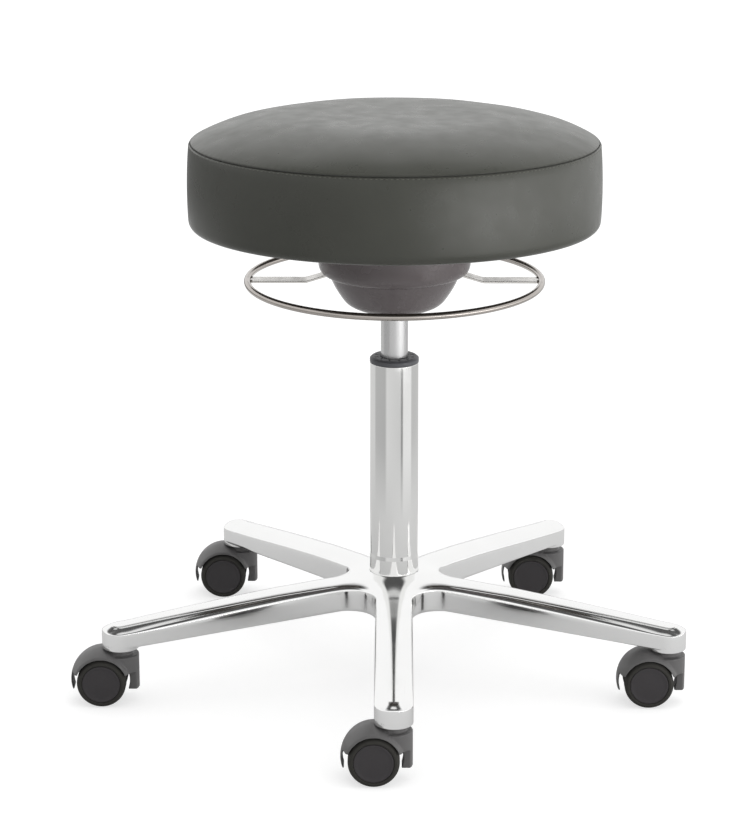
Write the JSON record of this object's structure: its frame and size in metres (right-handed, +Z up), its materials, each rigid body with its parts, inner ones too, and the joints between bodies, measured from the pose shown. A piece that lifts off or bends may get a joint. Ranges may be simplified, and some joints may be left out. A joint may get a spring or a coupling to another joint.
{
  "type": "balance stool",
  "caption": "Height-adjustable round balance stool: tilting upholstered seat, ring lever, gas spring column and five-arm castor base.",
  "frame": {"origin": "on the floor, on the axis of the column", "axes": "+Z up along the column, -Y towards the front arm of the base, +X to the right as seen from the front"},
  "size_m": [0.628, 0.577, 0.5927],
  "materials": {
    "leatherette": "smooth semi-gloss leatherette",
    "housing_plastic": "satin warm grey",
    "bright_wire": "bright plated steel",
    "chrome_tube": "polished chrome",
    "spring_paint": "satin silver grey",
    "collar_plastic": "satin dark grey",
    "cast_aluminium": "polished",
    "hood_plastic": "satin dark grey",
    "wheel_plastic": "satin dark grey",
    "tread_grey": "matte soft tread",
    "zinc_steel": "zinc plated",
    "mechanism_metal": "grey coated die casting",
    "black_rubber": "matte",
    "plate_steel": "black powder coat",
    "plywood": "dark stained plywood",
    "foam": "open-cell polyurethane foam"
  },
  "bodies": {
    "base": {"base_star": "cast_aluminium", "column_tube": "chrome_tube", "guide_bush": "collar_plastic", "castor_stems": "zinc_steel"},
    "rod": {"piston_rod": "zinc_steel", "piston": "collar_plastic", "thrust_bearing": "zinc_steel", "rod_clip": "zinc_steel"},
    "lift": {"pressure_tube": "spring_paint", "tube_gland": "collar_plastic", "mech_socket": "mechanism_metal", "bowl_cover": "housing_plastic", "cup_cover": "housing_plastic", "cover_screws": "zinc_steel", "stop_ring": "black_rubber", "rocker_pin": "zinc_steel", "socket_bushes": "black_rubber"},
    "pin": {"release_pin": "zinc_steel"},
    "rocker": {"release_rocker": "mechanism_metal"},
    "lever": {"ring_wire": "bright_wire", "lever_spokes": "bright_wire"},
    "gimbal": {"gimbal_cross": "mechanism_metal", "gimbal_pins": "zinc_steel"},
    "seat": {"seat_plate": "plate_steel", "plate_bushes": "black_rubber", "seat_board": "plywood", "seat_foam": "foam", "cover_top": "leatherette", "cover_side": "leatherette", "seat_screws": "zinc_steel"},
    "castor_1": {"castor_hood_1": "hood_plastic", "castor_axle_1": "zinc_steel"},
    "front_wheel_1": {"wheel_core_front_1": "wheel_plastic", "wheel_tread_front_1": "tread_grey"},
    "back_wheel_1": {"wheel_core_back_1": "wheel_plastic", "wheel_tread_back_1": "tread_grey"},
    "castor_2": {"castor_hood_2": "hood_plastic", "castor_axle_2": "zinc_steel"},
    "front_wheel_2": {"wheel_core_front_2": "wheel_plastic", "wheel_tread_front_2": "tread_grey"},
    "back_wheel_2": {"wheel_core_back_2": "wheel_plastic", "wheel_tread_back_2": "tread_grey"},
    "castor_3": {"castor_hood_3": "hood_plastic", "castor_axle_3": "zinc_steel"},
    "front_wheel_3": {"wheel_core_front_3": "wheel_plastic", "wheel_tread_front_3": "tread_grey"},
    "back_wheel_3": {"wheel_core_back_3": "wheel_plastic", "wheel_tread_back_3": "tread_grey"},
    "castor_4": {"castor_hood_4": "hood_plastic", "castor_axle_4": "zinc_steel"},
    "front_wheel_4": {"wheel_core_front_4": "wheel_plastic", "wheel_tread_front_4": "tread_grey"},
    "back_wheel_4": {"wheel_core_back_4": "wheel_plastic", "wheel_tread_back_4": "tread_grey"},
    "castor_5": {"castor_hood_5": "hood_plastic", "castor_axle_5": "zinc_steel"},
    "front_wheel_5": {"wheel_core_front_5": "wheel_plastic", "wheel_tread_front_5": "tread_grey"},
    "back_wheel_5": {"wheel_core_back_5": "wheel_plastic", "wheel_tread_back_5": "tread_grey"}
  },
  "joints": [
    {"name": "column_swivel", "type": "hinge", "parent": "base", "child": "rod", "pos_m": [0, 0, 0.083], "axis": [0, 0, 1], "continuous": true},
    {"name": "height", "type": "slide", "parent": "rod", "child": "lift", "axis": [0, 0, 1], "range_m": [0, 0.14]},
    {"name": "ring_lever", "type": "slide", "parent": "lift", "child": "lever", "axis": [0, 0, 1], "range_m": [0, 0.005], "stiffness_N_per_m": 1500},
    {"name": "valve_pin", "type": "slide", "parent": "lift", "child": "pin", "axis": [0, 0, -1], "range_m": [0, 0.0025]},
    {"name": "rocker_turn", "type": "hinge", "parent": "lift", "child": "rocker", "pos_m": [0.01131, 0.01131, 0.4405], "axis": [0.7071, -0.7071, 0], "range_deg": [0, 8.95]},
    {"name": "tilt_front_back", "type": "hinge", "parent": "lift", "child": "gimbal", "pos_m": [0, 0, 0.456], "axis": [1, 0, 0], "range_deg": [-4, 8], "stiffness_Nm_per_rad": 200},
    {"name": "tilt_side", "type": "hinge", "parent": "gimbal", "child": "seat", "pos_m": [0, 0, 0.456], "axis": [0, 0.9994, -0.0349], "range_deg": [-6, 6], "stiffness_Nm_per_rad": 200},
    {"name": "castor_swivel_1", "type": "hinge", "parent": "base", "child": "castor_1", "pos_m": [0, -0.293, 0.046], "axis": [0, 0, 1], "continuous": true},
    {"name": "front_wheel_roll_1", "type": "hinge", "parent": "castor_1", "child": "front_wheel_1", "pos_m": [-0.019, -0.293, 0.025], "axis": [0, 1, 0], "continuous": true},
    {"name": "back_wheel_roll_1", "type": "hinge", "parent": "castor_1", "child": "back_wheel_1", "pos_m": [-0.019, -0.293, 0.025], "axis": [0, 1, 0], "continuous": true},
    {"name": "castor_swivel_2", "type": "hinge", "parent": "base", "child": "castor_2", "pos_m": [0.27866, -0.09054, 0.046], "axis": [0, 0, 1], "continuous": true},
    {"name": "front_wheel_roll_2", "type": "hinge", "parent": "castor_2", "child": "front_wheel_2", "pos_m": [0.25966, -0.09054, 0.025], "axis": [0, 1, 0], "continuous": true},
    {"name": "back_wheel_roll_2", "type": "hinge", "parent": "castor_2", "child": "back_wheel_2", "pos_m": [0.25966, -0.09054, 0.025], "axis": [0, 1, 0], "continuous": true},
    {"name": "castor_swivel_3", "type": "hinge", "parent": "base", "child": "castor_3", "pos_m": [0.17222, 0.23704, 0.046], "axis": [0, 0, 1], "continuous": true},
    {"name": "front_wheel_roll_3", "type": "hinge", "parent": "castor_3", "child": "front_wheel_3", "pos_m": [0.15322, 0.23704, 0.025], "axis": [0, 1, 0], "continuous": true},
    {"name": "back_wheel_roll_3", "type": "hinge", "parent": "castor_3", "child": "back_wheel_3", "pos_m": [0.15322, 0.23704, 0.025], "axis": [0, 1, 0], "continuous": true},
    {"name": "castor_swivel_4", "type": "hinge", "parent": "base", "child": "castor_4", "pos_m": [-0.17222, 0.23704, 0.046], "axis": [0, 0, 1], "continuous": true},
    {"name": "front_wheel_roll_4", "type": "hinge", "parent": "castor_4", "child": "front_wheel_4", "pos_m": [-0.19122, 0.23704, 0.025], "axis": [0, 1, 0], "continuous": true},
    {"name": "back_wheel_roll_4", "type": "hinge", "parent": "castor_4", "child": "back_wheel_4", "pos_m": [-0.19122, 0.23704, 0.025], "axis": [0, 1, 0], "continuous": true},
    {"name": "castor_swivel_5", "type": "hinge", "parent": "base", "child": "castor_5", "pos_m": [-0.27866, -0.09054, 0.046], "axis": [0, 0, 1], "continuous": true},
    {"name": "front_wheel_roll_5", "type": "hinge", "parent": "castor_5", "child": "front_wheel_5", "pos_m": [-0.29766, -0.09054, 0.025], "axis": [0, 1, 0], "continuous": true},
    {"name": "back_wheel_roll_5", "type": "hinge", "parent": "castor_5", "child": "back_wheel_5", "pos_m": [-0.29766, -0.09054, 0.025], "axis": [0, 1, 0], "continuous": true}
  ],
  "couplings": [
    {"joint": "valve_pin", "follows": "ring_lever", "ratio": 0.5},
    {"joint": "rocker_turn", "follows": "ring_lever", "rad_per_m": 31.25}
  ]
}
